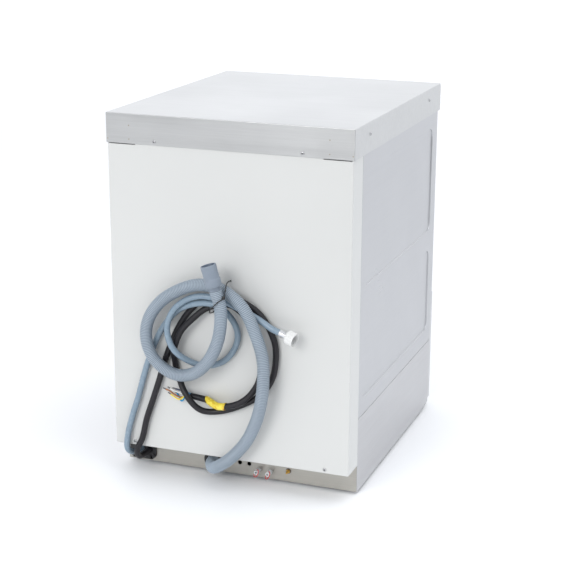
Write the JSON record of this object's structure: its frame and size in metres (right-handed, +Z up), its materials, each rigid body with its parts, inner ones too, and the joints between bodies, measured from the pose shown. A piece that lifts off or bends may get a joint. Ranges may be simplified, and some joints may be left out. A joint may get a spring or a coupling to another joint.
{
  "type": "undercounter dishwasher",
  "caption": "Undercounter dishwasher with a stainless casing, drop-down door, spinning wash arms, and drain hose, inlet hose and supply cable bundled on its back panel.",
  "frame": {"origin": "on the floor under the middle of the machine, handle and rear screws included, hoses and cable left out", "axes": "+Z up, -Y out of the door, +Y out of the back panel, +X to the left of someone who looks at the back"},
  "size_m": [0.574, 0.8111, 0.84],
  "materials": {
    "cover_steel": "fine brushed stainless, bright",
    "rear_paint": "smooth off-white, satin",
    "side_steel": "plain stainless, slightly blue, satin",
    "base_steel": "plain stainless, satin",
    "rear_wall_steel": "plain stainless, dull",
    "tray_steel": "galvanised, dull",
    "front_steel": "brushed stainless",
    "chamber_steel": "smooth stainless",
    "seal_rubber": "matt black",
    "fascia_plastic": "dark grey",
    "power_red": "red",
    "button_grey": "light grey",
    "button_green": "green",
    "window_glass": "dark tinted",
    "board_green": "circuit board",
    "handle_steel": "polished tube",
    "mechanism_steel": "plain steel",
    "arm_steel": "smooth stainless",
    "pipe_plastic": "grey",
    "heater_steel": "heat-tinted",
    "boiler_steel": "plain stainless",
    "pump_plastic": "dark grey",
    "motor_aluminium": "painted casting",
    "valve_plastic": "white",
    "foot_plastic": "black",
    "screw_steel": "bright zinc",
    "grommet_rubber": "black",
    "tube_plastic": "milky white",
    "ring_red": "red",
    "stud_brass": "plain",
    "drain_rubber": "blue-grey ribbed hose",
    "inlet_rubber": "blue-grey smooth hose",
    "ferrule_metal": "bright",
    "nut_plastic": "white",
    "cable_rubber": "charcoal",
    "label_film": "yellow film, blank",
    "wire_plastic": "brown, grey, black, blue and yellow-green"
  },
  "bodies": {
    "casing": {"top_cover": "cover_steel", "back_panel": "rear_paint", "left_side_panel": "side_steel", "right_side_panel": "side_steel", "left_base_panel": "base_steel", "right_base_panel": "base_steel", "base_rear_wall": "rear_wall_steel", "base_tray": "tray_steel", "lower_front_panel": "front_steel", "front_frame": "front_steel", "door_seal": "seal_rubber", "control_fascia": "fascia_plastic", "display_window": "window_glass", "control_board": "board_green", "hinge_brackets": "tray_steel", "door_springs": "mechanism_steel", "tank_shell": "chamber_steel", "tank_back_wall": "chamber_steel", "tank_basin": "chamber_steel", "rack_rails": "chamber_steel", "wash_manifold": "pipe_plastic", "tank_filters": "chamber_steel", "overflow_pipe": "pipe_plastic", "tank_heater": "heater_steel", "wash_pump_housing": "pump_plastic", "wash_pump_motor": "motor_aluminium", "drain_pump": "pump_plastic", "rinse_boiler": "boiler_steel", "inlet_valve": "valve_plastic", "dosing_pumps": "pump_plastic", "terminal_block": "valve_plastic", "casing_screws": "screw_steel", "hose_grommets": "grommet_rubber", "dosing_tubes": "tube_plastic", "tube_rings": "ring_red", "earth_stud": "stud_brass", "drain_hose": "drain_rubber", "drain_cuff": "drain_rubber", "inlet_hose": "inlet_rubber", "inlet_ferrule": "ferrule_metal", "power_cable": "cable_rubber", "cable_label": "label_film", "cable_wires": "wire_plastic", "cable_tie": "grommet_rubber"},
    "door": {"door_outer_panel": "front_steel", "door_inner_panel": "chamber_steel", "door_handle": "handle_steel", "door_hinge_arms": "mechanism_steel"},
    "lower_wash_arm": {"lower_wash_arm": "arm_steel"},
    "lower_rinse_arm": {"lower_rinse_arm": "arm_steel"},
    "upper_wash_arm": {"upper_wash_arm": "arm_steel"},
    "upper_rinse_arm": {"upper_rinse_arm": "arm_steel"},
    "power_button": {"power_button": "power_red"},
    "program_button": {"program_button": "button_grey"},
    "start_button": {"start_button": "button_green"},
    "front_left_foot": {"front_left_foot": "foot_plastic"},
    "front_right_foot": {"front_right_foot": "foot_plastic"},
    "rear_left_foot": {"rear_left_foot": "foot_plastic"},
    "rear_right_foot": {"rear_right_foot": "foot_plastic"},
    "inlet_nut": {"inlet_nut": "nut_plastic"}
  },
  "joints": [
    {"name": "door_hinge", "type": "hinge", "parent": "casing", "child": "door", "pos_m": [0, -0.313, 0.319], "axis": [1, 0, 0], "range_deg": [0, 90], "stiffness_Nm_per_rad": 4, "deforming": ["door_springs"]},
    {"name": "lower_wash_arm_spin", "type": "hinge", "parent": "casing", "child": "lower_wash_arm", "pos_m": [0, 0.00025, 0.31], "axis": [0, 0, 1], "continuous": true},
    {"name": "lower_rinse_arm_spin", "type": "hinge", "parent": "casing", "child": "lower_rinse_arm", "pos_m": [0, 0.00025, 0.31], "axis": [0, 0, 1], "continuous": true},
    {"name": "upper_wash_arm_spin", "type": "hinge", "parent": "casing", "child": "upper_wash_arm", "pos_m": [0, 0.00025, 0.74], "axis": [0, 0, 1], "continuous": true},
    {"name": "upper_rinse_arm_spin", "type": "hinge", "parent": "casing", "child": "upper_rinse_arm", "pos_m": [0, 0.00025, 0.74], "axis": [0, 0, 1], "continuous": true},
    {"name": "power_button_press", "type": "slide", "parent": "casing", "child": "power_button", "axis": [0, 1, 0], "range_m": [0, 0.0025], "stiffness_N_per_m": 400},
    {"name": "program_button_press", "type": "slide", "parent": "casing", "child": "program_button", "axis": [0, 1, 0], "range_m": [0, 0.0025], "stiffness_N_per_m": 400},
    {"name": "start_button_press", "type": "slide", "parent": "casing", "child": "start_button", "axis": [0, 1, 0], "range_m": [0, 0.0025], "stiffness_N_per_m": 400},
    {"name": "front_left_foot_screw", "type": "slide", "parent": "casing", "child": "front_left_foot", "axis": [0, 0, -1], "range_m": [0, 0.02]},
    {"name": "front_right_foot_screw", "type": "slide", "parent": "casing", "child": "front_right_foot", "axis": [0, 0, -1], "range_m": [0, 0.02]},
    {"name": "rear_left_foot_screw", "type": "slide", "parent": "casing", "child": "rear_left_foot", "axis": [0, 0, -1], "range_m": [0, 0.02]},
    {"name": "rear_right_foot_screw", "type": "slide", "parent": "casing", "child": "rear_right_foot", "axis": [0, 0, -1], "range_m": [0, 0.02]},
    {"name": "inlet_nut_turn", "type": "hinge", "parent": "casing", "child": "inlet_nut", "pos_m": [-0.133, 0.388, 0.394], "axis": [-0.9458, 0.1802, -0.2702], "continuous": true}
  ]
}
